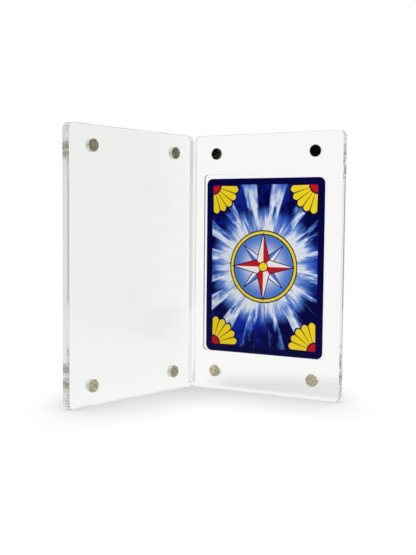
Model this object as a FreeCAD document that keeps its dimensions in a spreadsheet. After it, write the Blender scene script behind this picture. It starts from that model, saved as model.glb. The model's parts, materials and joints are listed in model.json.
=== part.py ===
import FreeCAD, Part
import math
import os
import Sketcher
from FreeCAD import Placement, Rotation, Vector

# Magnetic trading card display case, in millimetres: two clear panels that meet along one vertical spine,
# like a book. The back panel has a milled recess that holds one card. Each panel has four blind pockets in
# its inner face, each with a disc magnet bonded in by a thin adhesive film. Closed, the inner faces meet.
#
# Frame: +Z up, origin at the middle of the back panel's bottom edge. The back panel stands in the XZ plane
# with its inner face towards -Y. Both panels are drawn in the frame of a leaf, whose origin is at the foot
# of the spine axis: X runs from the spine to the free edge, and the thickness runs away from Y = 0.

# alias, value or formula, what it is
DIMENSIONS = [
    ("card_width", "63.5", "trading card, standard size"),
    ("card_height", "88", "trading card, standard size"),
    ("card_thickness", "0.32", "trading card stock"),
    ("card_corner_radius", "3", "die-cut corner of the card"),
    ("card_side_clearance", "1.25", "play on each side of the card in its recess"),
    ("card_top_clearance", "2", "play above the card, which stands on the recess's lower wall"),
    ("card_front_clearance", "0.88", "from the card's face to the panel's inner face"),
    ("recess_corner_radius", "2", "left by the milling cutter"),
    ("spine_margin", "6.25", "panel beside the recess, on the spine side"),
    ("free_margin", "7.75", "panel beside the recess, on the free side"),
    ("panel_corner_radius", "3", "rounded corner of both panels"),
    ("panel_edge_chamfer", "0.2", "broken edge around both faces of a panel"),
    ("magnet_diameter", "6", "disc magnet"),
    ("magnet_thickness", "3", "disc magnet"),
    ("magnet_edge_chamfer", "0.2", "broken rim of a magnet"),
    ("magnet_radial_clearance", "0.05", "between a magnet and the wall of its pocket"),
    ("magnet_face_inset", "0.05", "magnet's face below the panel's inner face"),
    ("adhesive_thickness", "0.15", "film between a magnet and its pocket's floor"),
    ("magnet_spine_inset", "13", "magnet axis from the panel's spine edge"),
    ("magnet_free_inset", "14", "magnet axis from the panel's free edge"),
    ("magnet_end_inset", "9.5", "magnet axis from the panel's top or bottom edge"),
    ("pocket_floor", "1.8", "acrylic left behind a magnet pocket"),
    ("pocket_web", "7.45", "acrylic between a magnet pocket and the recess"),
    ("spine_gap", "0.1", "between the two panels, both when closed and when laid flat"),
    ("open_angle", "105", "between the two inner faces, in degrees"),
    ("recess_width", "=card_width + 2 * card_side_clearance", "recess across"),
    ("recess_height", "=card_height + card_top_clearance", "recess from bottom to top"),
    ("recess_depth", "=card_thickness + card_front_clearance", "recess below the panel's inner face"),
    ("pocket_radius", "=magnet_diameter / 2 + magnet_radial_clearance", "magnet pocket's wall from its axis"),
    ("pocket_depth", "=magnet_face_inset + magnet_thickness + adhesive_thickness", "magnet pocket"),
    ("end_margin", "=magnet_end_inset + pocket_radius + pocket_web", "panel above and below the recess"),
    ("panel_width", "=spine_margin + recess_width + free_margin", "both panels, spine edge to free edge"),
    ("panel_height", "=recess_height + 2 * end_margin", "both panels, bottom to top"),
    ("panel_thickness", "=pocket_depth + pocket_floor", "both panels, face to face"),
    ("inner_face", "=spine_gap / 2", "leaf frame: inner face from the spine axis"),
    ("spine_edge", "=spine_gap / 2", "leaf frame: spine edge from the spine axis"),
    ("recess_left", "=spine_edge + spine_margin", "leaf frame: recess's wall on the spine side"),
    ("card_left", "=recess_left + card_side_clearance", "leaf frame: card's edge on the spine side"),
    ("card_front", "=inner_face + card_front_clearance", "leaf frame: card's face; its back is on the floor"),
    ("magnet_front", "=inner_face + magnet_face_inset", "leaf frame: magnet's bare face"),
    ("adhesive_front", "=magnet_front + magnet_thickness", "leaf frame: magnet's bonded face"),
    ("spine_column", "=spine_edge + magnet_spine_inset", "leaf frame: magnets beside the spine"),
    ("free_column", "=spine_edge + panel_width - magnet_free_inset", "leaf frame: magnets at the free side"),
    ("bottom_row", "=magnet_end_inset", "leaf frame: lower magnets"),
    ("top_row", "=panel_height - magnet_end_inset", "leaf frame: upper magnets"),
    ("spine_axis_x", "=-(spine_edge + panel_width / 2)", "part frame: spine axis"),
    ("spine_axis_y", "=-(inner_face + panel_thickness / 2)", "part frame: spine axis"),
]

COLUMNS = {"spine": "spine_column", "free": "free_column"}
ROWS = {"bottom": "bottom_row", "top": "top_row"}
MAGNET_SPOTS = [(side, end) for side in COLUMNS for end in ROWS]

# how a sketch constraint names a curve's points and the sketch's own axes
START = 1
END = 2
CENTRE = 3
ORIGIN = -1
HORIZONTAL_AXIS = -1
VERTICAL_AXIS = -2

QUARTER_TURN = math.pi / 2
PLANE_TOLERANCE = 1e-6

doc = FreeCAD.newDocument("CardCase")
sheet = doc.addObject("Spreadsheet::Sheet", "Dimensions")
pieces = []


def fill_sheet():
    """Write each dimension beside its description and give its cell an alias."""
    for row, (alias, value, meaning) in enumerate(DIMENSIONS, start=1):
        sheet.set("A%d" % row, meaning)
        sheet.set("B%d" % row, value)
        sheet.setAlias("B%d" % row, alias)
    doc.recompute()


def size(alias):
    """The present value of one dimension."""
    return float(sheet.get(alias))


def cell(alias):
    """The expression that follows one dimension."""
    return "Dimensions." + alias


class Leaf:
    """A panel's frame, with the panel's thickness on one side of Y = 0.

    The XZ plane's normal is -Y, so the back leaf, whose thickness runs towards +Y, pads against that normal
    and pockets along a pocket's own default direction, and the front leaf does the opposite.
    """

    def __init__(self, name, towards_plus_y, turn):
        self.name = name
        self.towards_plus_y = towards_plus_y
        self.turn = turn

    def offset(self, depth):
        """The expression that moves a sketch from Y = 0 to a depth inside the leaf."""
        return ("-" if self.towards_plus_y else "") + cell(depth)

    def place(self, body):
        """Stand a body's leaf frame on the foot of the spine axis, turned to the leaf's angle."""
        body.Placement = Placement(Vector(), Rotation(Vector(0, 0, 1), 1))
        body.setExpression("Placement.Base.x", cell("spine_axis_x"))
        body.setExpression("Placement.Base.y", cell("spine_axis_y"))
        body.setExpression("Placement.Rotation.Angle", self.turn)


BACK = Leaf("back", towards_plus_y=True, turn="0 deg")
FRONT = Leaf("front", towards_plus_y=False, turn="-1 deg * " + cell("open_angle"))


def new_body(label, leaf):
    """A body that is drawn in a leaf's frame and exported under its label."""
    body = doc.addObject("PartDesign::Body", label)
    body.Label = label
    leaf.place(body)
    pieces.append(body)
    return body


def new_sketch(body, leaf, name, depth):
    """A sketch on the body's own XZ plane, moved to a depth inside the leaf."""
    sketch = body.newObject("Sketcher::SketchObject", name)
    plane = next(item for item in body.Origin.OriginFeatures if item.Role == "XZ_Plane")
    sketch.AttachmentSupport = (plane, [""])
    sketch.MapMode = "FlatFace"
    sketch.setExpression("AttachmentOffset.Base.z", leaf.offset(depth))
    return sketch


def bind(sketch, name, constraint, alias):
    """Add a dimensional constraint that follows one dimension."""
    index = sketch.addConstraint(constraint)
    sketch.renameConstraint(index, name)
    sketch.setExpression("Constraints." + name, cell(alias))


def draw_rounded_rectangle(sketch, left, bottom, width, height, radius):
    """Draw a rectangle with rounded corners.

    Every argument is an alias. A left or bottom of None puts that side on the sketch's own axis.
    """
    x_low = size(left) if left else 0.0
    z_low = size(bottom) if bottom else 0.0
    x_high = x_low + size(width)
    z_high = z_low + size(height)
    bend = size(radius)

    def side(x_start, z_start, x_end, z_end):
        return sketch.addGeometry(Part.LineSegment(Vector(x_start, z_start, 0), Vector(x_end, z_end, 0)))

    def corner(x_centre, z_centre, quarters):
        circle = Part.Circle(Vector(x_centre, z_centre, 0), Vector(0, 0, 1), bend)
        arc = Part.ArcOfCircle(circle, quarters * QUARTER_TURN, (quarters + 1) * QUARTER_TURN)
        return sketch.addGeometry(arc)

    lower = side(x_low + bend, z_low, x_high - bend, z_low)
    right = side(x_high, z_low + bend, x_high, z_high - bend)
    upper = side(x_high - bend, z_high, x_low + bend, z_high)
    near = side(x_low, z_high - bend, x_low, z_low + bend)
    lower_right = corner(x_high - bend, z_low + bend, 3)
    upper_right = corner(x_high - bend, z_high - bend, 0)
    upper_left = corner(x_low + bend, z_high - bend, 1)
    lower_left = corner(x_low + bend, z_low + bend, 2)

    loop = [lower, lower_right, right, upper_right, upper, upper_left, near, lower_left]
    for first, second in zip(loop, loop[1:] + loop[:1]):
        sketch.addConstraint(Sketcher.Constraint("Tangent", first, END, second, START))
    for line in (lower, upper):
        sketch.addConstraint(Sketcher.Constraint("Horizontal", line))
    for line in (right, near):
        sketch.addConstraint(Sketcher.Constraint("Vertical", line))
    for arc in (upper_right, upper_left, lower_left):
        sketch.addConstraint(Sketcher.Constraint("Equal", lower_right, arc))
    bind(sketch, "radius", Sketcher.Constraint("Radius", lower_right, bend), radius)
    bind(sketch, "width", Sketcher.Constraint("DistanceX", near, START, right, START, size(width)), width)
    bind(sketch, "height", Sketcher.Constraint("DistanceY", lower, START, upper, START, size(height)), height)
    if left:
        bind(sketch, "left", Sketcher.Constraint("DistanceX", ORIGIN, START, near, START, x_low), left)
    else:
        sketch.addConstraint(Sketcher.Constraint("PointOnObject", near, START, VERTICAL_AXIS))
    if bottom:
        bind(sketch, "bottom", Sketcher.Constraint("DistanceY", ORIGIN, START, lower, START, z_low), bottom)
    else:
        sketch.addConstraint(Sketcher.Constraint("PointOnObject", lower, START, HORIZONTAL_AXIS))


def draw_disc(sketch, spot, radius):
    """Draw the circle of one magnet spot, with a radius in millimetres and its constraint still free."""
    side, end = spot
    column = COLUMNS[side]
    row = ROWS[end]
    x = size(column)
    z = size(row)
    circle = sketch.addGeometry(Part.Circle(Vector(x, z, 0), Vector(0, 0, 1), radius))
    across = Sketcher.Constraint("DistanceX", ORIGIN, START, circle, CENTRE, x)
    upward = Sketcher.Constraint("DistanceY", ORIGIN, START, circle, CENTRE, z)
    bind(sketch, "%s_%s_x" % spot, across, column)
    bind(sketch, "%s_%s_z" % spot, upward, row)
    return circle


def pad(body, leaf, sketch, name, length):
    """Raise a sketch into the leaf's thickness."""
    feature = body.newObject("PartDesign::Pad", name)
    feature.Profile = sketch
    feature.setExpression("Length", cell(length))
    feature.Reversed = leaf.towards_plus_y
    doc.recompute()
    return feature


def pocket(body, leaf, sketch, name, length):
    """Cut a sketch into the leaf's thickness, and check that material went."""
    volume_before = body.Shape.Volume
    feature = body.newObject("PartDesign::Pocket", name)
    feature.Profile = sketch
    feature.setExpression("Length", cell(length))
    feature.Reversed = not leaf.towards_plus_y
    doc.recompute()
    if body.Shape.Volume >= volume_before:
        raise RuntimeError("%s cuts nothing in %s" % (name, body.Label))
    return feature


def chamfer_face_rims(body, base, name, width):
    """Break the edges around both faces that close the thickness of a pad."""
    box = base.Shape.BoundBox
    rims = []
    for number, edge in enumerate(base.Shape.Edges, start=1):
        flat = edge.BoundBox.YLength < PLANE_TOLERANCE
        outer = min(edge.BoundBox.YMin - box.YMin, box.YMax - edge.BoundBox.YMax) < PLANE_TOLERANCE
        if flat and outer:
            rims.append("Edge%d" % number)
    feature = body.newObject("PartDesign::Chamfer", name)
    feature.Base = (base, rims)
    feature.setExpression("Size", cell(width))
    doc.recompute()
    return feature


def make_panel(leaf):
    """A clear panel with rounded corners, broken edges and four blind magnet pockets."""
    body = new_body(leaf.name + "_panel", leaf)
    outline = new_sketch(body, leaf, "Outline", "inner_face")
    draw_rounded_rectangle(outline, "spine_edge", None, "panel_width", "panel_height", "panel_corner_radius")
    slab = pad(body, leaf, outline, "Slab", "panel_thickness")
    chamfer_face_rims(body, slab, "BrokenEdges", "panel_edge_chamfer")
    holes = new_sketch(body, leaf, "PocketCircles", "inner_face")
    circles = [draw_disc(holes, spot, size("pocket_radius")) for spot in MAGNET_SPOTS]
    for circle in circles[1:]:
        holes.addConstraint(Sketcher.Constraint("Equal", circles[0], circle))
    bind(holes, "radius", Sketcher.Constraint("Radius", circles[0], size("pocket_radius")), "pocket_radius")
    pocket(body, leaf, holes, "MagnetPockets", "pocket_depth")
    return body


def mill_recess(body, leaf):
    """Mill the card's recess into a panel's inner face."""
    outline = new_sketch(body, leaf, "RecessOutline", "inner_face")
    draw_rounded_rectangle(
        outline, "recess_left", "end_margin", "recess_width", "recess_height", "recess_corner_radius"
    )
    pocket(body, leaf, outline, "Recess", "recess_depth")


def make_disc(label, leaf, spot, front, thickness):
    """A disc of the magnets' diameter at one magnet spot."""
    body = new_body(label, leaf)
    outline = new_sketch(body, leaf, "Outline", front)
    circle = draw_disc(outline, spot, size("magnet_diameter") / 2)
    diameter = Sketcher.Constraint("Diameter", circle, size("magnet_diameter"))
    bind(outline, "diameter", diameter, "magnet_diameter")
    return body, pad(body, leaf, outline, "Disc", thickness)


def make_magnets(leaf):
    """A magnet and its adhesive film in each of a panel's four pockets."""
    for spot in MAGNET_SPOTS:
        place = "%s_%s" % spot
        magnet_label = "%s_magnet_%s" % (leaf.name, place)
        adhesive_label = "%s_adhesive_%s" % (leaf.name, place)
        magnet, disc = make_disc(magnet_label, leaf, spot, "magnet_front", "magnet_thickness")
        chamfer_face_rims(magnet, disc, "BrokenRims", "magnet_edge_chamfer")
        make_disc(adhesive_label, leaf, spot, "adhesive_front", "adhesive_thickness")


def make_card(leaf):
    """The card, which stands on the recess's lower wall and lies against the recess's floor."""
    body = new_body("card", leaf)
    outline = new_sketch(body, leaf, "Outline", "card_front")
    draw_rounded_rectangle(
        outline, "card_left", "end_margin", "card_width", "card_height", "card_corner_radius"
    )
    pad(body, leaf, outline, "Stock", "card_thickness")


def check_document():
    """Stop if any object failed to build or any piece isn't one valid solid."""
    for item in doc.Objects:
        if {"Invalid", "Error"} & set(item.State):
            raise RuntimeError("%s failed: %s" % (item.Label, item.State))
    for piece in pieces:
        shape = piece.Shape
        if shape.isNull() or not shape.isValid() or len(shape.Solids) != 1:
            raise RuntimeError("%s isn't one valid solid" % piece.Label)


def export_pieces():
    """Write each piece to a STEP file named after its label."""
    os.makedirs("parts", exist_ok=True)
    for piece in pieces:
        piece.Shape.exportStep("parts/%s.step" % piece.Label)


fill_sheet()
back_panel = make_panel(BACK)
mill_recess(back_panel, BACK)
make_panel(FRONT)
make_magnets(BACK)
make_magnets(FRONT)
make_card(BACK)
doc.recompute()
check_document()
export_pieces()
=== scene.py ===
import json
import logging
import math
from dataclasses import dataclass, field
from enum import Enum
from functools import reduce
from operator import mul
from typing import Any, Callable, Iterable, Union

import bmesh
import bpy
from mathutils import Matrix, Vector


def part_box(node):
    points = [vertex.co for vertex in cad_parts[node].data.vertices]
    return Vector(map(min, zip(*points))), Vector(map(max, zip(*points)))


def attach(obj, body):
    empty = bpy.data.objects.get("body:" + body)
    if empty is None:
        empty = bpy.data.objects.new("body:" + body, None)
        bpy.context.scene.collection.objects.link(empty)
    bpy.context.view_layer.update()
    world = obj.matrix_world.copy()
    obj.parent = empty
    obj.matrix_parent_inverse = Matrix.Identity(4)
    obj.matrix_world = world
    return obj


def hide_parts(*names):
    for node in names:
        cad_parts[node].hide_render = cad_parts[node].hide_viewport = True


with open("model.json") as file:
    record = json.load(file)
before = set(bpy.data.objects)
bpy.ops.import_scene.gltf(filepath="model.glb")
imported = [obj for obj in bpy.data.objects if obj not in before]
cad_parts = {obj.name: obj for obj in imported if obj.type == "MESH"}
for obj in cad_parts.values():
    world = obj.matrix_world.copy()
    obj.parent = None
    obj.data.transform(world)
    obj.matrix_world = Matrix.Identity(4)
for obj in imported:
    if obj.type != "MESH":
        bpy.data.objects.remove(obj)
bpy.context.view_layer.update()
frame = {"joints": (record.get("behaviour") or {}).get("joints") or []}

log = logging.getLogger("card_case")

Colour = tuple[float, float, float, float]
Span = tuple[float, float]
Piece = bpy.types.Object
Material = bpy.types.Material
Number = Union["Wire", float]
Sockets = dict[Union[int, str], Any]
EdgeTest = Callable[[Vector, Vector], bool]

MM = 0.001
SAME_PLACE = 1e-7  # metres
ROUND_SIDES = 96
BLACK: Colour = (0.0, 0.0, 0.0, 1.0)
WHITE: Colour = (1.0, 1.0, 1.0, 1.0)


# ---- Shader tools ----


class Wire:
    """One node socket's value. Python's operators on it add Math nodes."""

    def __init__(self, board: "Board", socket: Union[bpy.types.NodeSocket, None]) -> None:
        """Keep the socket, which an output node hasn't got, and the board that its node is on."""
        self.board = board
        self.socket = socket

    def output(self, which: Union[int, str]) -> "Wire":
        """Another output of the same node, by name or number."""
        return Wire(self.board, self.socket.node.outputs[which])

    def math(self, operation: str, *others: Number) -> "Wire":
        """The result of a Math node whose first value is this one."""
        values = dict(enumerate((self, *others)))
        return self.board.add("ShaderNodeMath", values, operation=operation)

    def __add__(self, other: Number) -> "Wire":
        """Sum."""
        return self.math("ADD", other)

    def __sub__(self, other: Number) -> "Wire":
        """Difference."""
        return self.math("SUBTRACT", other)

    def __rsub__(self, other: float) -> "Wire":
        """Difference from a number."""
        return self.board.add("ShaderNodeMath", {0: other, 1: self}, operation="SUBTRACT")

    def __mul__(self, other: Number) -> "Wire":
        """Product."""
        return self.math("MULTIPLY", other)

    def __pow__(self, other: Number) -> "Wire":
        """Power."""
        return self.math("POWER", other)

    def __mod__(self, other: Number) -> "Wire":
        """Remainder that is never negative."""
        return self.math("FLOORED_MODULO", other)

    def __abs__(self) -> "Wire":
        """Distance from nought."""
        return self.math("ABSOLUTE")

    __radd__ = __add__
    __rmul__ = __mul__

    def least(self, other: Number) -> "Wire":
        """The smaller of two values."""
        return self.math("MINIMUM", other)

    def most(self, other: Number) -> "Wire":
        """The larger of two values."""
        return self.math("MAXIMUM", other)

    def hypot(self, other: "Wire") -> "Wire":
        """Length of the vector that has these two components."""
        return (self * self + other * other) ** 0.5

    def rise(self, start: float, end: float, low: float = 0.0, high: float = 1.0) -> "Wire":
        """A smooth step from low to high as this value goes from start to end.

        Args:
            start: where the step begins.
            end: where it is complete; it may be less than start.
            low: the value before the step.
            high: the value after it.

        Returns:
            The stepped value.
        """
        if start > end:
            start, end, low, high = end, start, high, low
        values = {"Value": self, "From Min": start, "From Max": end, "To Min": low, "To Max": high}
        return self.board.add("ShaderNodeMapRange", values, interpolation_type="SMOOTHSTEP")

    def inside(self, edge: float, soft: float = 0.05) -> "Wire":
        """One where this value is below an edge, nought above it."""
        return self.rise(edge + soft, edge - soft)

    def reaches(self, count: int) -> "Wire":
        """One where this whole number is a count or more, nought where it is less."""
        return self.rise(count - 0.6, count - 0.4)


class Board:
    """A node tree that is being wired."""

    def __init__(self, tree: bpy.types.NodeTree) -> None:
        """Start from an empty tree."""
        self.tree = tree
        tree.nodes.clear()

    def add(self, kind: str, sockets: Union[Sockets, None] = None, **settings: Any) -> Wire:
        """Add one node.

        Args:
            kind: the node's type.
            sockets: a value or a wire for each of its inputs that isn't left as it is.
            settings: its own settings, set before its inputs.

        Returns:
            The first of the node's outputs that is in use.
        """
        node = self.tree.nodes.new(kind)
        for name, value in settings.items():
            setattr(node, name, value)
        for which, value in (sockets or {}).items():
            if isinstance(value, Wire):
                self.tree.links.new(value.socket, node.inputs[which])
            else:
                node.inputs[which].default_value = value
        return Wire(self, next((socket for socket in node.outputs if socket.enabled), None))

    def coordinates(self, kind: str = "Object") -> Wire:
        """Texture coordinates of one kind."""
        return self.add("ShaderNodeTexCoord").output(kind)

    def mix(self, share: Number, first: Union[Wire, Colour], second: Union[Wire, Colour]) -> Wire:
        """Two colours mixed, the share being how much of the second one shows."""
        return self.add("ShaderNodeMix", {0: share, 6: first, 7: second}, data_type="RGBA")

    def millimetres(self, origin: Vector, turn: float = 0.0) -> Wire:
        """Object coordinates in millimetres from an origin in metres, in axes turned about Z."""
        axes = {"Location": origin, "Rotation": (0.0, 0.0, turn), "Scale": (MM, MM, MM)}
        return self.add("ShaderNodeMapping", {"Vector": self.coordinates(), **axes}, vector_type="TEXTURE")

    def split(self, place: Wire) -> tuple[Wire, Wire, Wire]:
        """The three components of a vector."""
        parts = self.add("ShaderNodeSeparateXYZ", {0: place})
        return parts.output(0), parts.output(1), parts.output(2)

    def bump(self, height: Wire, depth: float, under: Union[Wire, None] = None) -> Wire:
        """A normal that follows a height.

        Args:
            height: the height, from 0 to 1.
            depth: how far a height of 1 stands out, in metres.
            under: the normal that this one is added to.

        Returns:
            The normal.
        """
        values: Sockets = {"Height": height, "Distance": depth}
        if under is not None:
            values["Normal"] = under
        return self.add("ShaderNodeBump", values)

    def principled(self, inputs: Sockets) -> None:
        """Finish a material with a Principled shader that has these inputs."""
        self.finish(self.add("ShaderNodeBsdfPrincipled", inputs))

    def finish(self, shader: Wire) -> None:
        """Send the surface's or the world's shader to the output."""
        is_world = isinstance(self.tree.id_data, bpy.types.World)
        self.add("ShaderNodeOutputWorld" if is_world else "ShaderNodeOutputMaterial", {"Surface": shader})


@dataclass(frozen=True)
class Grain:
    """A noise pattern, and the part of its range that turns it into a mask.

    Its scale is how many features fit in a millimetre, its detail the octaves on top of the first, and
    rough how strong each octave is beside the one before.
    """

    scale: float
    detail: float
    rough: float
    span: Span = (0.35, 0.65)
    stretch: tuple[float, float, float] = (1.0, 1.0, 1.0)

    def noise(self, place: Wire) -> Wire:
        """The pattern itself.

        Args:
            place: the coordinates, in millimetres.

        Returns:
            The noise, from about 0.25 to 0.75.
        """
        scaled = place.board.add("ShaderNodeVectorMath", {0: place, 1: self.stretch}, operation="MULTIPLY")
        values = {"Vector": scaled, "Scale": self.scale, "Detail": self.detail, "Roughness": self.rough}
        return place.board.add("ShaderNodeTexNoise", values)

    def mask(self, place: Wire) -> Wire:
        """Nought where the pattern is weak, one where it is strong."""
        return self.noise(place).rise(*self.span)


@dataclass(frozen=True)
class Band:
    """A smooth step along one level direction, whose x and y parts are given."""

    direction: Span
    start: float
    end: float
    depth: float = 1.0

    def mask(self, x: Wire, y: Wire) -> Wire:
        """Nought before the step's start, its depth past its end."""
        along = x * self.direction[0] + y * self.direction[1]
        return along.rise(self.start, self.end, 0.0, self.depth)


def overlap(bands: tuple[Band, ...], x: Wire, y: Wire) -> Wire:
    """The product of several bands' masks."""
    return reduce(mul, (band.mask(x, y) for band in bands))


def new_material(name: str) -> tuple[Material, Board]:
    """A new material.

    Args:
        name: its name.

    Returns:
        The material and the empty board of its node tree.
    """
    material = bpy.data.materials.new(name)
    material.use_nodes = True
    return material, Board(material.node_tree)


def rounded_box(x: Wire, z: Wire, half_x: float, half_z: float, radius: float) -> Wire:
    """Distance from the outline of a rounded rectangle, negative inside it.

    Args:
        x: place across, from the middle.
        z: place up, from the middle.
        half_x: half its width.
        half_z: half its height.
        radius: its corner radius.

    Returns:
        The signed distance.
    """
    across = abs(x) - (half_x - radius)
    up = abs(z) - (half_z - radius)
    corner = across.most(0.0).hypot(up.most(0.0))
    return corner + across.most(up).least(0.0) - radius


# ---- Modelling tools ----


def same(first: float, second: float) -> bool:
    """Whether two coordinates are the same but for rounding."""
    return abs(first - second) < SAME_PLACE


def only(piece: Piece) -> None:
    """Select one object alone and make it active.

    Args:
        piece: the object.
    """
    bpy.ops.object.select_all(action="DESELECT")
    piece.select_set(True)
    bpy.context.view_layer.objects.active = piece


def shape(piece: Piece, wanted: EdgeTest, width: float, steps: int) -> None:
    """Bevel the edges whose two ends pass a test.

    Args:
        piece: the object to shape.
        wanted: tells from an edge's two ends whether it is bevelled.
        width: the bevel's width, in metres.
        steps: its segments.
    """
    only(piece)
    bpy.ops.object.mode_set(mode="EDIT")
    bpy.ops.mesh.select_mode(type="EDGE")
    bpy.ops.mesh.select_all(action="DESELECT")
    mesh = bmesh.from_edit_mesh(piece.data)
    for edge in mesh.edges:
        if wanted(edge.verts[0].co, edge.verts[1].co):
            edge.select_set(True)
    bmesh.update_edit_mesh(piece.data)
    bpy.ops.mesh.bevel(offset=width, offset_type="OFFSET", segments=steps, profile=0.5, affect="EDGES")
    bpy.ops.object.mode_set(mode="OBJECT")


def freeze(piece: Piece) -> None:
    """Put an object's place, turn and size into its mesh."""
    only(piece)
    bpy.ops.object.transform_apply(location=True, rotation=True, scale=True)


def apply(piece: Piece, kind: str, **settings: Any) -> None:
    """Add a modifier to a piece and apply it.

    Args:
        piece: the object.
        kind: the modifier's type.
        settings: the modifier's settings.
    """
    only(piece)
    modifier = piece.modifiers.new(kind.title(), kind)
    for name, value in settings.items():
        setattr(modifier, name, value)
    bpy.ops.object.modifier_apply(modifier=modifier.name)


def cut(piece: Piece, cutters: Iterable[Piece]) -> None:
    """Cut other objects out of a piece and remove them.

    Args:
        piece: the object that is cut.
        cutters: the objects to cut out of it, in order.
    """
    for cutter in cutters:
        apply(piece, "BOOLEAN", operation="DIFFERENCE", solver="EXACT", object=cutter)
        bpy.data.objects.remove(cutter)


def slab(name: str, low: Vector, high: Vector, corner: float, steps: int) -> Piece:
    """A plate that faces along Y, with the four corners of its outline rounded.

    Args:
        name: the object's name.
        low: its lowest corner.
        high: its highest corner.
        corner: the radius of the outline's corners.
        steps: segments in each corner.

    Returns:
        The plate.
    """
    bpy.ops.object.select_all(action="DESELECT")
    bpy.ops.mesh.primitive_cube_add(size=1.0, location=(low + high) / 2, scale=high - low)
    plate = bpy.context.active_object
    plate.name = name
    freeze(plate)
    shape(plate, lambda a, b: same(a.x, b.x) and same(a.z, b.z), corner, steps)
    return plate


def disc(name: str, centre: Vector, radius: float, thick: float) -> Piece:
    """A round blank whose axis runs along Y.

    Args:
        name: the object's name.
        centre: its middle.
        radius: its radius.
        thick: its thickness.

    Returns:
        The blank.
    """
    quarter_turn = (math.pi / 2, 0.0, 0.0)
    bpy.ops.object.select_all(action="DESELECT")
    bpy.ops.mesh.primitive_cylinder_add(
        vertices=ROUND_SIDES, radius=radius, depth=thick, location=centre, rotation=quarter_turn
    )
    blank = bpy.context.active_object
    blank.name = name
    freeze(blank)
    return blank


def break_rims(piece: Piece, faces: tuple[float, ...], width: float, steps: int) -> None:
    """Round the edges that lie wholly in one of the planes Y = face."""
    shape(piece, lambda a, b: any(same(a.y, y) and same(b.y, y) for y in faces), width, steps)


def smooth(piece: Piece, angle: float = 35.0) -> None:
    """Shade round parts smooth and keep flat faces truly flat.

    Args:
        piece: the object.
        angle: the bend in degrees above which an edge stays sharp.
    """
    only(piece)
    bpy.ops.object.shade_smooth_by_angle(angle=math.radians(angle))
    apply(piece, "WEIGHTED_NORMAL", mode="FACE_AREA", weight=50, keep_sharp=True)


def dress(piece: Piece, material: Material, slot: str, body: str, *nodes: str) -> None:
    """Give a piece its material, its place in the model and the nodes that it stands for.

    Args:
        piece: the finished object.
        material: its material.
        slot: the record's material slot; not used.
        body: the body that it rides on.
        nodes: the nodes that it replaces.
    """
    piece.data.materials.clear()
    piece.data.materials.append(material)
    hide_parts(*nodes)
    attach(piece, body)
    log.info("%s: %d faces, rides on %s", piece.name, len(piece.data.polygons), body)


# ---- The two leaves ----


class Side(Enum):
    """Which leaf of the case a piece belongs to."""

    BACK = "back"
    FRONT = "front"


@dataclass(frozen=True)
class Leaf:
    """The sizes of one leaf in millimetres, taken from its panel's edges with the case shut.

    The insets are those of the magnet pockets, the margins those of the back panel's recess.
    """

    spine_gap: float = 0.05
    width: float = 80.0
    height: float = 130.0
    corner: float = 3.0
    pocket_radius: float = 3.05
    pocket_depth: float = 3.2
    spine_inset: float = 13.0
    free_inset: float = 14.0
    end_inset: float = 9.5
    spine_margin: float = 6.25
    free_margin: float = 7.75
    end_margin: float = 20.0
    recess_depth: float = 1.2
    recess_corner: float = 2.0


@dataclass(frozen=True)
class Spine:
    """The vertical line that the two panels meet along."""

    place: Vector = field(default_factory=lambda: Vector(frame["joints"][0]["pos_m"]))
    open_angle: float = math.radians(105.0)

    def turn(self, side: Side) -> float:
        """How far a leaf is turned from its closed place, in radians."""
        return -self.open_angle if side is Side.FRONT else 0.0

    def swing(self, piece: Piece, side: Side) -> None:
        """Move a piece from its leaf's closed place to the leaf's place at rest.

        Args:
            piece: the object.
            side: its leaf.
        """
        there = Matrix.Translation(self.place)
        piece.matrix_world = there @ Matrix.Rotation(self.turn(side), 4, "Z") @ there.inverted()
        freeze(piece)


LEAF = Leaf()
SPINE = Spine()
ENDS = ("bottom", "top")
COLUMNS = ("spine", "free")


# ---- Finishes ----


@dataclass(frozen=True)
class Frost:
    """How rough one panel's milled pockets are and how much painted shade darkens them, and how rough the
    ends of its edges.
    """

    pocket_rough: float
    pocket_painted_shade: float
    end_rough: float


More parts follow.
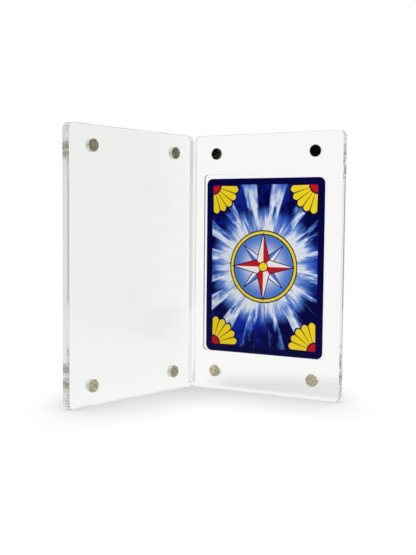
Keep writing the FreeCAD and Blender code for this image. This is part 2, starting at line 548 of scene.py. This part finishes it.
@dataclass(frozen=True)
class Acrylic:
    """Clear cast acrylic with polished edges, faint wipe marks, a few hair scratches, and painted shade.

    Every field whose name ends in "rough" is what that mark adds to the polished face's roughness.
    Lengths are in millimetres, but a relief is in metres. A skin is how thick a layer of a wall is marked.
    """

    slot: str = "clear_acrylic"
    tint: Colour = (0.958, 0.957, 0.942, 1.0)
    edge_tint: Colour = (0.955, 0.957, 0.945, 1.0)
    painted_shade_tint: Colour = (0.16, 0.165, 0.165, 1.0)
    sheen: Colour = (0.3, 0.3, 0.3, 1.0)
    refraction: float = 1.525
    polish: float = 0.004
    wiped_rough: float = 0.01
    hair_rough: float = 0.035
    edge_rough: float = 0.05
    wall_rough: float = 0.2
    back_frost: Frost = Frost(pocket_rough=0.12, pocket_painted_shade=0.0, end_rough=0.0)
    front_frost: Frost = Frost(pocket_rough=0.45, pocket_painted_shade=0.2, end_rough=0.07)
    wipes: Grain = Grain(0.09, 4.0, 0.6, (0.52, 0.74), (1.0, 1.0, 0.35))
    hairs: Grain = Grain(0.55, 1.0, 0.4, (0.71, 0.75), (9.0, 9.0, 0.12))
    waves: Grain = Grain(0.06, 1.0, 0.4)
    saw_marks: Grain = Grain(0.5, 2.0, 0.5, stretch=(1.0, 0.1, 0.6))
    wave_relief: float = 0.01 * MM
    saw_relief: float = 0.0015 * MM
    edge_band: Span = (-0.4, -0.1)
    end_band: Span = (36.0, 46.0)
    pocket_skin: float = 0.02
    wall_skin: float = 0.04
    wall_fade: Span = (30.0, 10.0)

    def pockets(self, x: Wire, z: Wire) -> Wire:
        """A mask of the four magnet pockets' walls and floors: mill frost, with painted shade on the front
        panel.

        Args:
            x: place from the spine axis.
            z: place up from the bottom edge.

        Returns:
            One in and just round a pocket, nought elsewhere.
        """
        spine_column = LEAF.spine_gap + LEAF.spine_inset
        free_column = LEAF.spine_gap + LEAF.width - LEAF.free_inset
        to_column = abs(x - (spine_column + free_column) / 2) - (free_column - spine_column) / 2
        to_row = abs(z - LEAF.height / 2) - (LEAF.height / 2 - LEAF.end_inset)
        return to_column.hypot(to_row).inside(LEAF.pocket_radius + self.pocket_skin, self.pocket_skin / 2)

    def recess_wall(self, x: Wire, y: Wire, z: Wire) -> Wire:
        """A mask of the recess's wall on the spine side: rough, and darkened into a line of painted shade.

        Args:
            x: place from the spine axis.
            y: place behind the plane that the closed panels meet in.
            z: place up from the bottom edge.

        Returns:
            One on the wall, nought elsewhere.
        """
        half_width = (LEAF.width - LEAF.spine_margin - LEAF.free_margin) / 2
        half_height = LEAF.height / 2 - LEAF.end_margin
        from_middle = x - (LEAF.spine_gap + LEAF.spine_margin + half_width)
        outline = rounded_box(from_middle, z - LEAF.height / 2, half_width, half_height, LEAF.recess_corner)
        floor = LEAF.spine_gap + LEAF.recess_depth
        on_wall = abs(outline).inside(self.wall_skin, self.wall_skin / 2)
        above_floor = y.inside(floor - self.wall_skin, self.wall_skin / 2)
        return on_wall * above_floor * x.rise(*self.wall_fade)

    def make(self, side: Side) -> Material:
        """The finish of one panel, in that leaf's own axes.

        Args:
            side: the panel's leaf.

        Returns:
            The material.
        """
        material, board = new_material(f"{self.slot}_{side.value}")
        frost = self.back_frost if side is Side.BACK else self.front_frost
        place = board.millimetres(SPINE.place, SPINE.turn(side))
        x, y, z = board.split(place)
        half_width, half_height = LEAF.width / 2, LEAF.height / 2
        from_middle = x - (LEAF.spine_gap + half_width)
        outline = rounded_box(from_middle, z - half_height, half_width, half_height, LEAF.corner)
        edge = outline.rise(*self.edge_band)
        ends = abs(z - half_height).rise(*self.end_band)
        milled = self.pockets(x, z)
        # The back panel's recess wall carries painted shade as well as roughness.
        wall: Number = self.recess_wall(x, y, z) if side is Side.BACK else 0.0

        rough = self.polish + self.wipes.mask(place) * self.wiped_rough
        rough = rough + self.hairs.mask(place) * self.hair_rough
        rough = rough + edge * (self.edge_rough + ends * frost.end_rough)
        rough = rough + milled * frost.pocket_rough + wall * self.wall_rough
        # Painted shade: the front panel's pockets and the back panel's recess wall are darkened towards a
        # dark tint.
        painted_shade_share = milled * frost.pocket_painted_shade + wall
        clear = board.mix(edge, self.tint, self.edge_tint)
        waves = board.bump(self.waves.noise(place), self.wave_relief)
        saw_marks = self.saw_marks.noise(place) * edge
        board.principled({
            "Base Color": board.mix(painted_shade_share, clear, self.painted_shade_tint),
            "Roughness": rough,
            "Transmission Weight": 1.0,
            "IOR": self.refraction,
            "Specular Tint": self.sheen,
            "Normal": board.bump(saw_marks, self.saw_relief, waves),
        })
        return material


@dataclass(frozen=True)
class Nickel:
    """Nickel plating over a sintered magnet: warm, finely grained and clouded."""

    slot: str = "nickel"
    pale: Colour = (0.92, 0.85, 0.59, 1.0)
    dark: Colour = (0.4, 0.36, 0.23, 1.0)
    grain: Grain = Grain(1.15, 4.0, 0.7)
    cloud: Grain = Grain(0.45, 2.0, 0.5)
    tone_span: Span = (0.4, 0.6)
    rough_span: Span = (0.45, 0.75)
    grain_share: float = 0.75
    polish: float = 0.08
    grain_rough: float = 0.08
    relief: float = 0.008 * MM

    def make(self) -> Material:
        """The finish of all the magnets.

        Returns:
            The material.
        """
        material, board = new_material(self.slot)
        place = board.millimetres(Vector((0.0, 0.0, 0.0)))
        grain = self.grain.noise(place)
        cloud = self.cloud.mask(place)
        tone = grain.rise(*self.tone_span) * self.grain_share + cloud * (1.0 - self.grain_share)
        board.principled({
            "Base Color": board.mix(tone, self.dark, self.pale),
            "Metallic": 1.0,
            "Roughness": self.polish + grain.rise(*self.rough_span) * self.grain_rough,
            "Normal": board.bump(grain, self.relief),
        })
        return material


@dataclass(frozen=True)
class AdhesiveFilm:
    """A clear film that has wetted out in patches, and is milky where it hasn't."""

    slot: str = "adhesive"
    wet: Colour = (0.72, 0.73, 0.7, 1.0)
    milky: Colour = (0.9, 0.9, 0.87, 1.0)
    patches: Grain = Grain(0.7, 3.0, 0.6, (0.4, 0.62))
    wet_rough: float = 0.2
    milky_rough: float = 0.25
    wet_alpha: float = 0.25
    milky_alpha: float = 0.5
    relief: float = 0.01 * MM

    def make(self) -> Material:
        """The finish of all the adhesive films; what is milky adds to the wet film's roughness and alpha.

        Returns:
            The material.
        """
        material, board = new_material(self.slot)
        milky = self.patches.mask(board.millimetres(Vector((0.0, 0.0, 0.0))))
        board.principled({
            "Base Color": board.mix(milky, self.wet, self.milky),
            "Roughness": self.wet_rough + milky * self.milky_rough,
            "Alpha": self.wet_alpha + milky * self.milky_alpha,
            "Normal": board.bump(milky, self.relief),
        })
        return material


@dataclass(frozen=True)
class Star:
    """A pointed star round the card's middle, each of its points in two tones."""

    tip: float
    waist: float
    turn: float
    first: Colour
    second: Colour
    points: int = 4
    seam: float = 0.004

    def draw(self, far: Wire, angle: Wire) -> tuple[Wire, Wire]:
        """The star's outline and its two tones.

        Args:
            far: distance from the middle.
            angle: direction from the middle, in radians.

        Returns:
            The distance outside the star, negative inside it, and the star's colour.
        """
        wedge = math.pi / self.points
        folded = (angle + self.turn + wedge) % (2 * wedge) - wedge
        aside = abs(folded)
        across, along = far * aside.math("SINE"), far * aside.math("COSINE")
        run_x, run_y = self.waist * math.cos(wedge) - self.tip, self.waist * math.sin(wedge)
        outside = ((along - self.tip) * run_y - across * run_x) * (1.0 / math.hypot(run_x, run_y))
        half = folded.rise(-self.seam, self.seam)
        return outside, far.board.mix(half, self.first, self.second)


@dataclass(frozen=True)
class CompassPrint:
    """The side of the card that the case shows: rays, a ringed compass star and a fan in each corner.

    Lengths are in millimetres. Every field whose name ends in "line" is the width of a navy outline.
    """

    half_width: float = 28.55
    half_height: float = 40.8
    corner: float = 2.0
    navy: Colour = (0.0006, 0.0006, 0.062, 1.0)
    royal: Colour = (0.004, 0.022, 0.4, 1.0)
    azure: Colour = (0.08, 0.21, 0.68, 1.0)
    ice: Colour = (0.78, 0.84, 0.92, 1.0)
    white: Colour = (0.88, 0.88, 0.88, 1.0)
    red: Colour = (0.6, 0.006, 0.01, 1.0)
    gold: Colour = (0.96, 0.72, 0.006, 1.0)
    cloud: Grain = Grain(0.055, 4.0, 0.58)
    strokes: Grain = Grain(0.55, 4.0, 0.62)
    fine: Grain = Grain(1.9, 3.0, 0.6, (0.38, 0.62))
    stroke_count: float = 9.0
    stroke_stretch: float = 0.075
    night_fade: float = 0.003
    night_span: Span = (0.36, 0.58)
    azure_span: Span = (0.04, 0.46)
    ice_span: Span = (0.34, 0.86)
    glow_span: Span = (33.0, 18.0)
    glow_strokes: Span = (0.38, 0.6)
    glow_least: float = 0.55
    glow_more: float = 0.6
    spokes: int = 16
    spoke_span: Span = (0.29, 0.21)
    beam_span: Span = (62.0, 22.0)
    beam_strokes: Span = (0.36, 0.62)
    beam_level: float = 1.05
    fine_least: float = 0.72
    fine_more: float = 0.3
    sky_span: Span = (4.0, 15.0)
    ring: float = 17.6
    ring_inner: float = 16.4
    ring_line: float = 0.6
    star_line: float = 0.45
    hub: float = 2.1
    hub_line: float = 0.5
    fan: float = 12.5
    fan_line: float = 0.9
    fan_gap: float = 0.4
    fan_edge: Span = (-0.03, 0.03)
    fan_blades: int = 5
    blade_half: float = 0.43
    scallop: float = 1.6
    heart: float = 3.9
    heart_line: float = 0.7

    def rays(self, place: Wire, far: Wire, angle: Wire) -> Wire:
        """White and blue strokes that run outwards over a dark blue cloud.

        Args:
            place: the coordinates from the card's middle.
            far: distance from the middle.
            angle: direction from the middle, in radians.

        Returns:
            The colour.
        """
        board = place.board
        round_x, round_z = angle.math("COSINE") * self.stroke_count, angle.math("SINE") * self.stroke_count
        polar = board.add("ShaderNodeCombineXYZ", {0: round_x, 1: far * self.stroke_stretch, 2: round_z})
        strokes, fine = self.strokes.noise(polar), self.fine.mask(polar)
        cloud = self.cloud.noise(place) - far * self.night_fade
        spokes = abs((angle * (self.spokes / math.tau)) % 1.0 - 0.5).rise(*self.spoke_span)
        glow = self.glow_least + strokes.rise(*self.glow_strokes) * self.glow_more
        beams = spokes * strokes.rise(*self.beam_strokes) * far.rise(*self.beam_span) * self.beam_level
        light = (far.rise(*self.glow_span) * glow).most(beams) * (self.fine_least + fine * self.fine_more)
        colour = board.mix(cloud.rise(*self.night_span), self.navy, self.royal)
        colour = board.mix(light.rise(*self.azure_span), colour, self.azure)
        return board.mix(light.rise(*self.ice_span), colour, self.ice)

    def compass(self, far: Wire, angle: Wire, colour: Wire) -> Wire:
        """A yellow ring round two stars and a hub, laid over a colour.

        Args:
            far: distance from the middle.
            angle: direction from the middle, in radians.
            colour: what is under it.

        Returns:
            The colour.
        """
        board = far.board
        sky = board.mix(far.rise(*self.sky_span), self.ice, self.azure)
        rings = (
            (self.ring + self.ring_line, self.navy),
            (self.ring, self.gold),
            (self.ring_inner, self.navy),
            (self.ring_inner - self.ring_line, sky),
        )
        for radius, tone in rings:
            colour = board.mix(far.inside(radius), colour, tone)
        small = Star(tip=13.6, waist=3.6, turn=math.pi / 4, first=self.white, second=self.azure)
        large = Star(tip=15.6, waist=4.6, turn=0.0, first=self.red, second=self.white)
        for star in (small, large):
            outside, tones = star.draw(far, angle)
            colour = board.mix(outside.inside(self.star_line), colour, self.navy)
            colour = board.mix(outside.inside(0.0), colour, tones)
        colour = board.mix(far.inside(self.hub + self.hub_line), colour, self.navy)
        return board.mix(far.inside(self.hub), colour, self.gold)

    def fans(self, x: Wire, z: Wire, colour: Wire) -> Wire:
        """A yellow fan with a red heart in each corner, laid over a colour.

        Args:
            x: place across, from the card's middle.
            z: place up, from the card's middle.
            colour: what is under it.

        Returns:
            The colour.
        """
        board = x.board
        from_x = self.half_width - self.fan_gap - abs(x)
        from_z = self.half_height - self.fan_gap - abs(z)
        within = from_x.least(from_z).rise(*self.fan_edge)
        far = from_x.hypot(from_z)
        blade = (from_z.math("ARCTAN2", from_x) * (self.fan_blades / (math.pi / 2))) % 1.0
        scallop = far - (blade * math.pi).math("SINE") * self.scallop
        leaf = scallop.inside(self.fan) * abs(blade - 0.5).inside(self.blade_half, soft=0.02) * within
        colour = board.mix(scallop.inside(self.fan + self.fan_line), colour, self.navy)
        colour = board.mix(leaf, colour, self.gold)
        colour = board.mix(far.inside(self.heart + self.heart_line), colour, self.navy)
        return board.mix(far.inside(self.heart) * within, colour, self.red)

    def draw(self, place: Wire) -> Wire:
        """The whole print, with its navy border.

        Args:
            place: the coordinates from the card's middle.

        Returns:
            The colour.
        """
        x, _, z = place.board.split(place)
        far, angle = x.hypot(z), z.math("ARCTAN2", x)
        colour = self.compass(far, angle, self.rays(place, far, angle))
        framed = rounded_box(x, z, self.half_width, self.half_height, self.corner)
        return place.board.mix(framed.inside(0.0, soft=0.06), self.navy, self.fans(x, z, colour))


@dataclass(frozen=True)
class LandscapePrint:
    """The side of the card that lies on the recess's floor: a landscape over a ruled panel.

    Lengths are in millimetres. A line of hills has a height, a tone, and how many fit in a millimetre.
    """

    stone_dark: Colour = (0.5, 0.56, 0.62, 1.0)
    stone_pale: Colour = (0.62, 0.66, 0.7, 1.0)
    horizon: Colour = (0.72, 0.66, 0.45, 1.0)
    zenith: Colour = (0.1, 0.3, 0.62, 1.0)
    sun: Colour = (0.9, 0.7, 0.3, 1.0)
    trim: Colour = (0.3, 0.24, 0.1, 1.0)
    parchment: Colour = (0.74, 0.7, 0.6, 1.0)
    rule: Colour = (0.3, 0.27, 0.22, 1.0)
    cloud: Grain = Grain(0.14, 4.0, 0.6)
    hills: tuple[tuple[float, Colour, float], ...] = (
        (10.0, (0.1, 0.24, 0.28, 1.0), 0.051),
        (4.0, (0.04, 0.15, 0.09, 1.0), 0.063),
    )
    hill_swing: float = 26.0
    sky_span: Span = (2.0, 34.0)
    half_width: float = 26.0
    corner: float = 2.0
    window_height: float = 15.0
    window_half: float = 20.0
    panel_height: float = -23.5
    panel_half: float = 14.5
    sun_height: float = 22.0
    sun_radius: float = 6.0
    window_trim: float = 0.9
    panel_trim: float = 0.5
    rule_pitch: float = 4.5
    rule_shift: float = 1.0
    rule_half: float = 0.14
    rule_margin: float = 3.0

    def draw(self, place: Wire) -> Wire:
        """The whole print.

        Args:
            place: the coordinates from the card's middle.

        Returns:
            The colour.
        """
        board = place.board
        x, _, z = board.split(place)
        sky = board.mix(z.rise(*self.sky_span), self.horizon, self.zenith)
        sky = board.mix(x.hypot(z - self.sun_height).inside(self.sun_radius, soft=0.2), sky, self.sun)
        for height, tone, scale in self.hills:
            ridge = Grain(scale, detail=3.0, rough=0.5, stretch=(1.0, 0.0, 0.0)).noise(place)
            above = z - height - (ridge - 0.5) * self.hill_swing
            sky = board.mix(above.inside(0.0, soft=0.15), sky, tone)
        window = rounded_box(x, z - self.window_height, self.half_width, self.window_half, self.corner)
        panel = rounded_box(x, z - self.panel_height, self.half_width, self.panel_half, self.corner)
        ruled = abs(((z + self.rule_shift) % self.rule_pitch) - self.rule_pitch / 2)
        ruled = ruled.inside(self.rule_half, soft=0.04) * panel.inside(-self.rule_margin)
        colour = board.mix(self.cloud.mask(place), self.stone_dark, self.stone_pale)
        colour = board.mix(window.inside(self.window_trim), colour, self.trim)
        colour = board.mix(window.inside(0.0), colour, sky)
        colour = board.mix(panel.inside(self.panel_trim), colour, self.trim)
        colour = board.mix(panel.inside(0.0), colour, self.parchment)
        return board.mix(ruled, colour, self.rule)


@dataclass(frozen=True)
class PrintedCard:
    """Glossy card stock, printed on both sides, with a white core at its cut edge and worn corners.

    Lengths are in millimetres, but the relief is in metres.
    """

    slot: str = "printed_card"
    half_width: float = 31.75
    half_height: float = 44.0
    corner: float = 3.0
    shown: CompassPrint = CompassPrint()
    hidden: LandscapePrint = LandscapePrint()
    paper: Colour = (0.8, 0.785, 0.74, 1.0)
    wear: Grain = Grain(1.3, 3.0, 0.7)
    wear_width: float = 0.4
    wear_band: Span = (-0.04, 0.12)
    wear_share: float = 0.35
    core_half: float = 0.115
    core_band: Span = (-0.06, -0.02)
    print_change: Span = (-0.1, 0.1)
    ink: Grain = Grain(3.0, 3.0, 0.7, (0.3, 0.7))
    ink_share: float = 0.09
    weave: Grain = Grain(2.4, 3.0, 0.6)
    gloss_rough: float = 0.2
    weave_rough: float = 0.08
    core_rough: float = 0.4
    relief: float = 0.003 * MM
    refraction: float = 1.45
    specular: float = 0.1

    def make(self, centre: Vector) -> Material:
        """The card's finish.

        Args:
            centre: the middle of the card, in metres.

        Returns:
            The material.
        """
        material, board = new_material(self.slot)
        place = board.millimetres(centre)
        x, y, z = board.split(place)
        outline = rounded_box(x, z, self.half_width, self.half_height, self.corner)
        worn = outline + (self.wear.noise(place) - 0.5) * self.wear_width
        core = abs(y).inside(self.core_half, soft=0.01) * outline.rise(*self.core_band)
        weave = self.weave.noise(place)
        shown, hidden = self.shown.draw(place), self.hidden.draw(place)
        colour = board.mix(y.rise(*self.print_change), shown, hidden)
        colour = board.mix(worn.rise(*self.wear_band) * self.wear_share, colour, self.paper)
        colour = board.mix(core, colour, self.paper)
        board.principled({
            "Base Color": board.mix(self.ink.mask(place) * self.ink_share, colour, BLACK),
            "Roughness": self.gloss_rough + weave * self.weave_rough + core * self.core_rough,
            "IOR": self.refraction,
            "Specular IOR Level": self.specular,
            "Normal": board.bump(weave, self.relief),
        })
        return material


# ---- Sub-assemblies ----


@dataclass
class Panel:
    """A clear slab with rounded corners, broken edges and four blind magnet pockets."""

    side: Side
    finish: Acrylic
    rim: float = 0.24 * MM
    overshoot: float = 1.0 * MM
    corner_steps: int = 16
    rim_steps: int = 4

    def closed_box(self) -> tuple[Vector, Vector]:
        """The slab's box with the case shut.

        Returns:
            Its lowest and highest corners.
        """
        low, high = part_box("back_panel")
        if self.side is Side.FRONT:
            plane = SPINE.place.y
            low.y, high.y = 2 * plane - high.y, 2 * plane - low.y
        return low, high

    def blank(self) -> Piece:
        """The slab before it is milled.

        Returns:
            The slab, in its leaf's closed place.
        """
        low, high = self.closed_box()
        plate = slab(f"{self.side.value}_panel_acrylic", low, high, LEAF.corner * MM, self.corner_steps)
        break_rims(plate, (low.y, high.y), self.rim, self.rim_steps)
        return plate

    def cutters(self) -> list[Piece]:
        """The four end mills that sink the magnet pockets.

        Returns:
            The cutters, in their places in the closed leaf.
        """
        low, high = self.closed_box()
        inner, inward = (low.y, 1.0) if self.side is Side.BACK else (high.y, -1.0)
        depth = LEAF.pocket_depth * MM
        middle = inner + inward * (depth - self.overshoot) / 2
        columns = (low.x + LEAF.spine_inset * MM, high.x - LEAF.free_inset * MM)
        rows = (low.z + LEAF.end_inset * MM, high.z - LEAF.end_inset * MM)
        centres = [Vector((x, middle, z)) for x in columns for z in rows]
        return [disc("cutter", place, LEAF.pocket_radius * MM, depth + self.overshoot) for place in centres]

    def build(self) -> None:
        """Mill the slab, swing it to its place and dress it."""
        plate = self.blank()
        cut(plate, self.cutters())
        smooth(plate)
        SPINE.swing(plate, self.side)
        body = self.side.value
        dress(plate, self.finish.make(self.side), self.finish.slot, body, f"{body}_panel")


@dataclass
class RecessedPanel(Panel):
    """The back slab, which has the milled recess that the card stands in."""

    recess_steps: int = 12

    def cutters(self) -> list[Piece]:
        """The magnet pockets' cutters and the recess's.

        Returns:
            The cutters, in their places in the closed leaf.
        """
        low, high = self.closed_box()
        start = Vector((LEAF.spine_margin, 0.0, LEAF.end_margin)) * MM
        end = Vector((LEAF.free_margin, 0.0, LEAF.end_margin)) * MM
        first = Vector((low.x, low.y - self.overshoot, low.z)) + start
        last = Vector((high.x, low.y + LEAF.recess_depth * MM, high.z)) - end
        return super().cutters() + [slab("cutter", first, last, LEAF.recess_corner * MM, self.recess_steps)]


@dataclass
class MagnetSet:
    """The four magnets and adhesive films of one leaf, each in its pocket."""

    side: Side
    metal: Nickel
    film: AdhesiveFilm
    radius: float = 3.0 * MM
    thickness: float = 3.0 * MM
    rim: float = 0.22 * MM
    film_radius: float = 3.03 * MM
    film_thickness: float = 0.13 * MM
    film_rim: float = 0.04 * MM
    rim_steps: int = 4
    smooth_angle: float = 50.0

    def pattern(self, name: str, radius: float, thick: float, rim: float) -> Piece:
        """One disc at the origin with rounded rims, to be copied.

        Args:
            name: the object's name.
            radius: its radius.
            thick: its thickness.
            rim: the width of its rounded rim.

        Returns:
            The disc.
        """
        blank = disc(name, Vector((0.0, 0.0, 0.0)), radius, thick)
        break_rims(blank, (-thick / 2, thick / 2), rim, self.rim_steps)
        smooth(blank, self.smooth_angle)
        return blank

    def copy(self, pattern: Piece, kind: str, material: Material, slot: str) -> None:
        """Copy a disc to the middle of each of its four nodes, then remove it.

        Args:
            pattern: the disc at the origin.
            kind: "magnet" or "adhesive".
            material: its material.
            slot: the record's material slot.
        """
        turn = Matrix.Rotation(SPINE.turn(self.side), 4, "Z")
        for node in (f"{self.side.value}_{kind}_{column}_{end}" for column in COLUMNS for end in ENDS):
            low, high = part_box(node)
            piece = pattern.copy()
            piece.data = pattern.data.copy()
            piece.name = f"{node}_piece"
            bpy.context.scene.collection.objects.link(piece)
            piece.matrix_world = Matrix.Translation((low + high) / 2) @ turn
            freeze(piece)
            dress(piece, material, slot, self.side.value, node)
        bpy.data.objects.remove(pattern)

    def build(self, metal: Material, film: Material) -> None:
        """Make the magnets and the films.

        Args:
            metal: the magnets' material.
            film: the films' material.
        """
        magnet = self.pattern("magnet", self.radius, self.thickness, self.rim)
        self.copy(magnet, "magnet", metal, self.metal.slot)
        adhesive = self.pattern("film", self.film_radius, self.film_thickness, self.film_rim)
        self.copy(adhesive, "adhesive", film, self.film.slot)


@dataclass
class Card:
    """The trading card that stands in the recess, with a little air between it and the recess's floor."""

    finish: PrintedCard
    air: float = 0.01 * MM
    cut_edge: float = 0.03 * MM
    corner_steps: int = 12
    edge_steps: int = 2

    def build(self) -> None:
        """Make the card and dress it."""
        low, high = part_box("card")
        centre = (low + high) / 2
        high.y -= self.air
        card = slab("trading_card", low, high, self.finish.corner * MM, self.corner_steps)
        break_rims(card, (low.y, high.y), self.cut_edge, self.edge_steps)
        smooth(card)
        dress(card, self.finish.make(centre), self.finish.slot, "card", "card")


# ---- Studio ----

# A ray that has been reflected once is called mirrored here, and one reflected more often trapped.
# The first two directions are the frame's level axes, the others run across the view and away from it.
ALONG_X = (1.0, 0.0)
ALONG_Y = (0.0, 1.0)
ACROSS = (0.886, 0.464)
AWAY = (-0.464, 0.886)


@dataclass
class Camera:
    """The camera. Yaw, pitch and roll turn one that looks along Y; lens and sensor are in millimetres."""

    place: Vector = field(default_factory=lambda: Vector((0.16388, -0.37506, 0.08537)))
    yaw: float = math.radians(27.64)
    pitch: float = math.radians(-3.79)
    roll: float = math.radians(0.529)
    lens: float = 53.1
    sensor: float = 36.0
    nearest: float = 0.01
    farthest: float = 20.0

    def build(self) -> None:
        """Make the camera and look through it."""
        data = bpy.data.cameras.new("camera")
        data.lens, data.sensor_width = self.lens, self.sensor
        data.clip_start, data.clip_end = self.nearest, self.farthest
        camera = bpy.data.objects.new("camera", data)
        turned = Matrix.Rotation(self.yaw, 4, "Z") @ Matrix.Rotation(math.pi / 2 + self.pitch, 4, "X")
        turned = turned @ Matrix.Rotation(self.roll, 4, "Z")
        camera.matrix_world = Matrix.Translation(self.place) @ turned
        bpy.context.scene.collection.objects.link(camera)
        bpy.context.scene.camera = camera


@dataclass(frozen=True)
class Table:
    """The white round table: a painted soft shadow of the case for the camera, painted shade in the
    acrylic.

    Lengths are in metres. A depth is how much a painted shade takes away: left and rear shade the table
    that is seen through the front panel, behind the one seen through the back panel, and between the one
    in the angle of the panels, which mirrored rays show.
    """

    radius: float = 0.42
    air_below: float = 0.15 * MM
    lit: Colour = (0.95, 0.95, 0.95, 1.0)
    reach: float = 0.042
    falloff: float = 0.8
    depth: float = 0.48
    samples: int = 16
    beside_case: tuple[Band, ...] = (Band(ACROSS, -0.116, -0.094), Band(ACROSS, 0.054, 0.034))
    left: Band = Band(ALONG_X, -0.03, -0.11, 0.036)
    rear: Band = Band(ALONG_Y, 0.05, 0.25, 0.039)
    past_spine: Band = Band((0.878, 0.478), -0.031, -0.065)
    behind: tuple[Band, ...] = (
        Band(AWAY, 0.066, 0.02),
        Band(ACROSS, -0.032, -0.014),
        Band(ACROSS, 0.11, 0.0),
        Band(ALONG_Y, 0.003, 0.014),
    )
    between: tuple[Band, ...] = (Band((0.966, -0.259), -0.044, -0.034), Band((1.0, -1.0), -0.055, -0.025))
    distance: Span = (0.08, 0.3)
    acrylic_view_shade: float = 0.015
    behind_depth: float = 0.205
    mirrored_depth: float = 0.06
    between_depth: float = 0.34
    distant_depth: float = 0.22
    trapped_depth: float = 0.12

    def finish(self) -> Material:
        """The table's finish.

        Returns:
            The material.
        """
        material, board = new_material("table_white")
        ray = board.add("ShaderNodeLightPath")
        seen, bounces = ray.output("Is Camera Ray"), ray.output("Glossy Depth")
        trapped = bounces.reaches(2)
        mirrored = bounces.reaches(1) * (1.0 - trapped)
        open_sky = board.add("ShaderNodeAmbientOcclusion", {"Distance": self.reach}, samples=self.samples)
        x, y, _ = board.split(board.coordinates())
        # Painted contact shadow: ambient occlusion darkens the table's emitted level for the camera, faded
        # out beside the case.
        shadow = (1.0 - open_sky.output("AO")) ** self.falloff * seen * overlap(self.beside_case, x, y)
        through = (self.left.mask(x, y) + self.rear.mask(x, y)) * self.past_spine.mask(x, y)
        behind = overlap(self.behind, x, y) * self.behind_depth
        distant = x.hypot(y).rise(*self.distance) * self.distant_depth
        between = overlap(self.between, x, y) * (self.between_depth + distant)
        # Painted shade on the table as the acrylic shows it, through the panels and in reflections.
        dimmer = self.acrylic_view_shade + through + behind + mirrored * (self.mirrored_depth + between)
        dimmer = dimmer + trapped * self.trapped_depth
        level = (1.0 - shadow * self.depth) * (1.0 - (1.0 - seen) * dimmer)
        shown = seen.most(ray.output("Is Glossy Ray")).most(ray.output("Is Transmission Ray"))
        lit = board.add("ShaderNodeBsdfDiffuse", {"Color": self.lit})
        plain = board.add("ShaderNodeEmission", {"Color": board.mix(level, BLACK, WHITE)})
        board.finish(board.add("ShaderNodeMixShader", {0: shown, 1: lit, 2: plain}))
        return material

    def build(self) -> None:
        """Make the table and give it its finish."""
        place = (0.0, 0.0, -self.air_below)
        bpy.ops.object.select_all(action="DESELECT")
        bpy.ops.mesh.primitive_circle_add(
            vertices=ROUND_SIDES, radius=self.radius, fill_type="NGON", location=place
        )
        table = bpy.context.active_object
        table.name = "table"
        freeze(table)
        table.data.materials.append(self.finish())


@dataclass(frozen=True)
class Room:
    """White all round to the camera and through the acrylic, a pale room in reflections.

    A band is of the level parts of a direction. Mirrored rays see a dark doorway and a dim wall, trapped
    ones the dark patches beside and ahead, the far wall and the corner.
    """

    walls: float = 0.9
    dark: float = 0.997
    ceiling: Span = (0.2, 0.5)
    doorway: Band = Band((-0.375, -0.927), 0.819, 0.899)
    beside: Band = Band((-0.052, -0.999), 0.94, 0.97)
    ahead: Band = Band((-0.454, -0.891), 0.985, 0.993)
    dim_wall: Band = Band((0.839, 0.545), 0.9, 1.02, 0.75)
    far_wall: Band = Band((0.91, 0.41), 0.3, 0.95, 0.26)
    left_wall: Band = Band(ALONG_X, -0.2, -0.7, 0.13)
    corner: Band = Band((0.88, -0.47), 0.88, 0.96)
    corner_depth: float = 0.27
    corner_height: Span = (0.06, 0.09)
    corner_upper_depth: float = 0.6
    side_shade: Band = Band((-0.94, 0.342), 0.732, 0.792, 0.085)

    def build(self) -> None:
        """Make the world."""
        world = bpy.data.worlds.new("studio")
        bpy.context.scene.world = world
        world.use_nodes = True
        world.cycles.sampling_method = "NONE"
        board = Board(world.node_tree)
        x, y, z = board.split(board.coordinates("Generated"))
        ray = board.add("ShaderNodeLightPath")
        bounces = ray.output("Glossy Depth")
        reflected, trapped = bounces.reaches(1), bounces.reaches(2)
        mirrored = 1.0 - trapped
        dim_walls = self.dim_wall.mask(x, y) * mirrored + self.far_wall.mask(x, y) * trapped
        walls = self.walls - dim_walls - self.left_wall.mask(x, y)
        corner_depth = self.corner_depth + z.rise(*self.corner_height) * self.corner_upper_depth
        walls = walls * (1.0 - self.corner.mask(x, y) * trapped * corner_depth)
        dark = (self.doorway.mask(x, y) * mirrored).most(self.beside.mask(x, y) * trapped)
        dark = dark.most(self.ahead.mask(x, y) * trapped)
        walls = walls * (1.0 - dark * self.dark)
        room = walls + (1.0 - walls) * z.rise(*self.ceiling)
        straight = 1.0 - ray.output("Transmission Depth").reaches(1) * self.side_shade.mask(x, y)
        level = straight + reflected * (room - straight)
        level = level + ray.output("Diffuse Depth").reaches(1) * (1.0 - level)
        board.finish(board.add("ShaderNodeBackground", {"Color": WHITE, "Strength": level}))


@dataclass
class Studio:
    """The camera, the table and the room, and how often light may bounce."""

    bounces: int = 64
    clear_bounces: int = 60
    alpha_bounces: int = 16

    def build(self) -> None:
        """Set up the studio."""
        scene = bpy.context.scene
        scene.view_settings.view_transform = "Standard"
        scene.cycles.max_bounces = self.bounces
        scene.cycles.glossy_bounces = self.clear_bounces
        scene.cycles.transmission_bounces = self.clear_bounces
        scene.cycles.transparent_max_bounces = self.alpha_bounces
        Camera().build()
        Table().build()
        Room().build()
        log.info("studio ready")


def main() -> None:
    """Build the studio and the case."""
    logging.basicConfig(level=logging.INFO, format="%(name)s: %(message)s")
    Studio().build()
    acrylic, nickel, film = Acrylic(), Nickel(), AdhesiveFilm()
    metal_made, film_made = nickel.make(), film.make()
    RecessedPanel(Side.BACK, acrylic).build()
    Panel(Side.FRONT, acrylic).build()
    for side in Side:
        MagnetSet(side, nickel, film).build(metal_made, film_made)
    Card(PrintedCard()).build()


if __name__ == "__main__":
    main()
